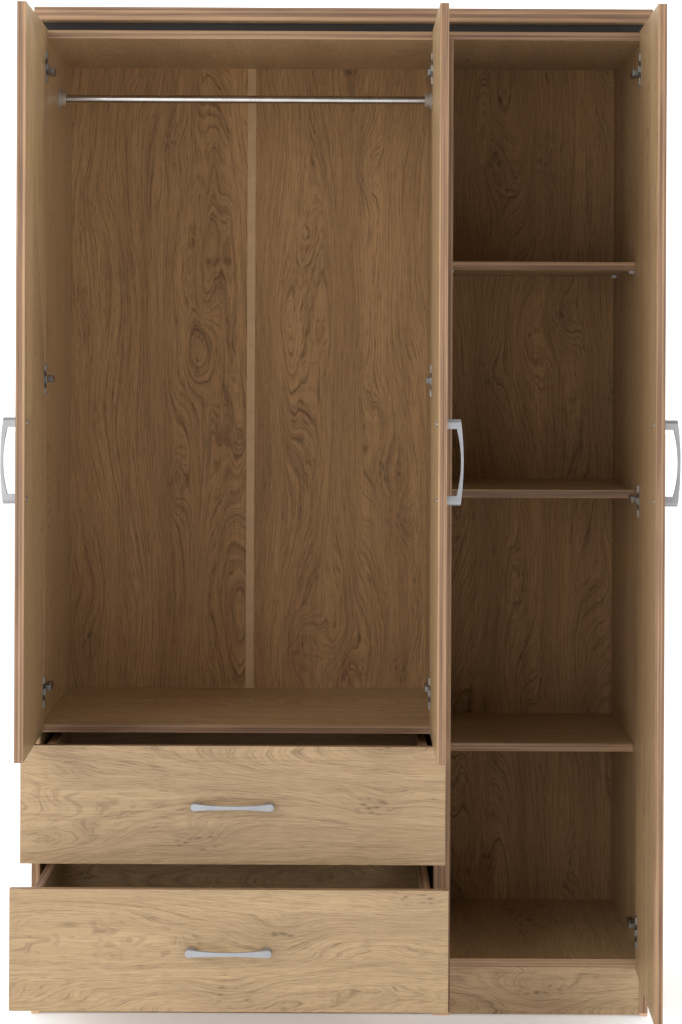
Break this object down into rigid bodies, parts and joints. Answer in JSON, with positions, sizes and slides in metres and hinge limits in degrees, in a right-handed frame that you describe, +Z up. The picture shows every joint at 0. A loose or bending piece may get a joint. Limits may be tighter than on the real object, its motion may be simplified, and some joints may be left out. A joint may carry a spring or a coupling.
{
  "type": "wardrobe with doors and drawers",
  "caption": "Tall oak-foil wardrobe: hinged doors over a hanging space with drawers below, and one long door over a column of shelves, all shown open.",
  "frame": {"origin": "on the floor, under the middle of the carcass: midway between its outer sides, and midway between its front edges and the rear face of its back boards", "axes": "+X to the right as seen from the front, +Y from the front to the back, +Z up"},
  "size_m": [1.1401, 0.8723, 1.824],
  "materials": {
    "oak_foil_front": "light oak foil on board, satin, edges banded",
    "oak_foil_carcass": "light oak foil on board, satin, front edges banded",
    "drawer_board": "oak foil, matt",
    "back_board": "printed oak pattern on thin fibreboard",
    "black_board": "black foil, matt",
    "joint_plastic": "beige plastic section",
    "chromed_tube": "polished",
    "grey_plastic": "moulded",
    "nickel": "nickel plated",
    "zinc_steel": "zinc plated",
    "satin_silver": "satin",
    "glide_plastic": "moulded"
  },
  "bodies": {
    "cabinet": {"side_panel_left": "oak_foil_carcass", "side_panel_centre_left": "oak_foil_carcass", "side_panel_centre_right": "oak_foil_carcass", "side_panel_right": "oak_foil_carcass", "top_board": "oak_foil_carcass", "sub_top_left": "oak_foil_carcass", "sub_top_right": "oak_foil_carcass", "fixed_shelf": "oak_foil_carcass", "bottom_panel_left": "oak_foil_carcass", "bottom_panel_right": "oak_foil_carcass", "plinth_front_left": "oak_foil_carcass", "plinth_front_right": "oak_foil_carcass", "plinth_rear_left": "oak_foil_carcass", "plinth_rear_right": "oak_foil_carcass", "shelf_upper": "oak_foil_carcass", "shelf_middle": "oak_foil_carcass", "shelf_lower": "oak_foil_carcass", "back_panel_left_outer": "back_board", "back_panel_left_inner": "back_board", "back_panel_right": "back_board", "back_joint_strip": "joint_plastic", "shadow_strip_front": "black_board", "shadow_strip_rear": "black_board", "shadow_strip_ends": "black_board", "hanging_rail": "chromed_tube", "rail_sockets": "grey_plastic", "shelf_pegs": "nickel", "hinge_plates": "nickel", "hinge_arms": "nickel", "runner_rails": "zinc_steel", "glides": "glide_plastic"},
    "door_left": {"door_left": "oak_foil_front", "hinge_cups_left": "nickel", "door_handle_left": "satin_silver", "door_handle_screws_left": "zinc_steel"},
    "door_middle": {"door_middle": "oak_foil_front", "hinge_cups_middle": "nickel", "door_handle_middle": "satin_silver", "door_handle_screws_middle": "zinc_steel"},
    "door_right": {"door_right": "oak_foil_front", "hinge_cups_right": "nickel", "door_handle_right": "satin_silver", "door_handle_screws_right": "zinc_steel"},
    "drawer_upper": {"drawer_upper_front": "oak_foil_front", "drawer_upper_side_left": "drawer_board", "drawer_upper_side_right": "drawer_board", "drawer_upper_back": "drawer_board", "drawer_upper_bottom": "drawer_board", "drawer_upper_handle": "satin_silver", "drawer_upper_handle_screws": "zinc_steel", "drawer_upper_runners": "zinc_steel"},
    "drawer_lower": {"drawer_lower_front": "oak_foil_front", "drawer_lower_side_left": "drawer_board", "drawer_lower_side_right": "drawer_board", "drawer_lower_back": "drawer_board", "drawer_lower_bottom": "drawer_board", "drawer_lower_handle": "satin_silver", "drawer_lower_handle_screws": "zinc_steel", "drawer_lower_runners": "zinc_steel"}
  },
  "joints": [
    {"name": "door_left_hinge", "type": "hinge", "parent": "cabinet", "child": "door_left", "pos_m": [-0.5505, -0.2625, 1.151], "axis": [0, 0, 1], "range_deg": [-21.2, 88.8]},
    {"name": "door_middle_hinge", "type": "hinge", "parent": "cabinet", "child": "door_middle", "pos_m": [0.1765, -0.2625, 1.151], "axis": [0, 0, 1], "range_deg": [-89.9, 20.1]},
    {"name": "door_right_hinge", "type": "hinge", "parent": "cabinet", "child": "door_right", "pos_m": [0.5505, -0.2625, 0.9365], "axis": [0, 0, 1], "range_deg": [-88, 22]},
    {"name": "drawer_upper_slide", "type": "slide", "parent": "cabinet", "child": "drawer_upper", "axis": [0, -1, 0], "range_m": [-0.159, 0.161]},
    {"name": "drawer_lower_slide", "type": "slide", "parent": "cabinet", "child": "drawer_lower", "axis": [0, -1, 0], "range_m": [-0.297, 0.023]}
  ]
}
